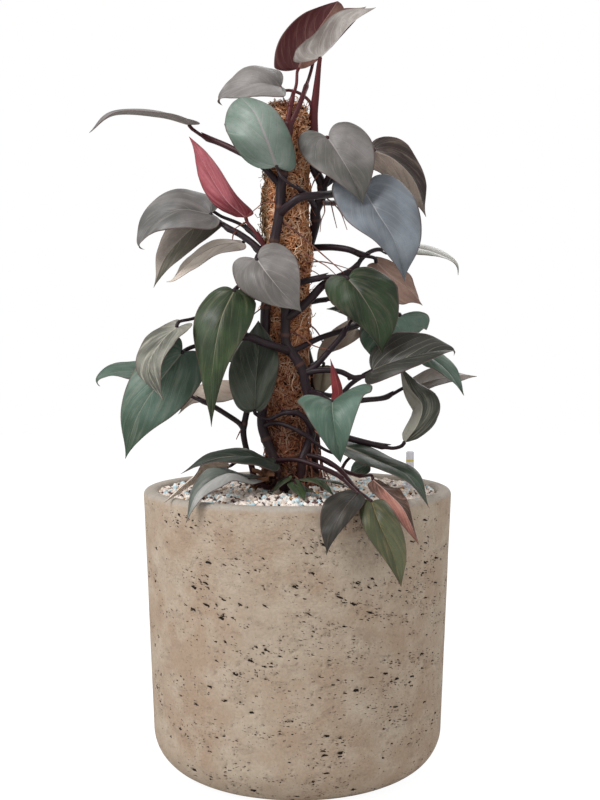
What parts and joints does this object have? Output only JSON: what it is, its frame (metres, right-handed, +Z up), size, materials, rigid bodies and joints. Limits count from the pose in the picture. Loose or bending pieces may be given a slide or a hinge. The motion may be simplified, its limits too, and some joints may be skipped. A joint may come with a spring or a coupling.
{
  "type": "potted philodendron",
  "caption": "Red-leaved climbing philodendron on a coir pole, in a round washed concrete planter with a water gauge.",
  "frame": {"origin": "middle of the planter's flat foot", "axes": "+Z up along the pole, +X to the right and +Y to the back, seen from the front"},
  "size_m": [0.3681, 0.3073, 0.7221],
  "materials": {
    "concrete": "washed cast concrete, pitted, matte",
    "grains": "pale mineral grains",
    "roots": "root and bark mass",
    "coir": "coconut fibre matting",
    "stake": "bamboo cane",
    "clear_tube": "clear plastic tube",
    "float": "red plastic rod and float",
    "stems": "purple-black plant stem, satin",
    "shoots": "young green leaf, satin",
    "leaves": "leathery grey-green to wine-red leaf, satin"
  },
  "bodies": {
    "root": {"pot": "concrete", "substrate": "grains", "root_ball": "roots", "pole_sleeve": "coir", "pole_stake": "stake", "gauge_tube": "clear_tube", "gauge_float": "float", "stem_left": "stems", "stem_front": "stems", "stem_right": "stems", "stem_low": "stems", "base_shoots": "shoots", "leaf_top_1": "leaves", "leaf_top_2": "leaves", "leaf_top_3": "leaves", "leaf_top_4": "leaves", "leaf_sage": "leaves", "leaf_level": "leaves", "leaf_pink": "leaves", "leaf_blue_1": "leaves", "leaf_brown_1": "leaves", "leaf_beige_1": "leaves", "leaf_grey_1": "leaves", "leaf_brown_2": "leaves", "leaf_blue_2": "leaves", "leaf_pale_1": "leaves", "leaf_grey_2": "leaves", "leaf_green_1": "leaves", "leaf_brown_3": "leaves", "leaf_small_1": "leaves", "leaf_green_2": "leaves", "leaf_olive_1": "leaves", "leaf_beige_2": "leaves", "leaf_green_3": "leaves", "leaf_twisted": "leaves", "leaf_kite": "leaves", "leaf_red": "leaves", "leaf_olive_2": "leaves", "leaf_beige_3": "leaves", "leaf_green_4": "leaves", "leaf_silver": "leaves", "leaf_green_5": "leaves", "leaf_green_6": "leaves", "leaf_dark_1": "leaves", "leaf_beige_4": "leaves", "leaf_long_1": "leaves", "leaf_pale_2": "leaves", "leaf_grey_3": "leaves", "leaf_long_2": "leaves", "leaf_dark_2": "leaves", "leaf_gold": "leaves", "leaf_folded": "leaves", "leaf_small_2": "leaves", "leaf_back_1": "leaves", "leaf_back_2": "leaves", "leaf_back_3": "leaves", "leaf_back_4": "leaves", "leaf_back_5": "leaves"}
  },
  "joints": []
}
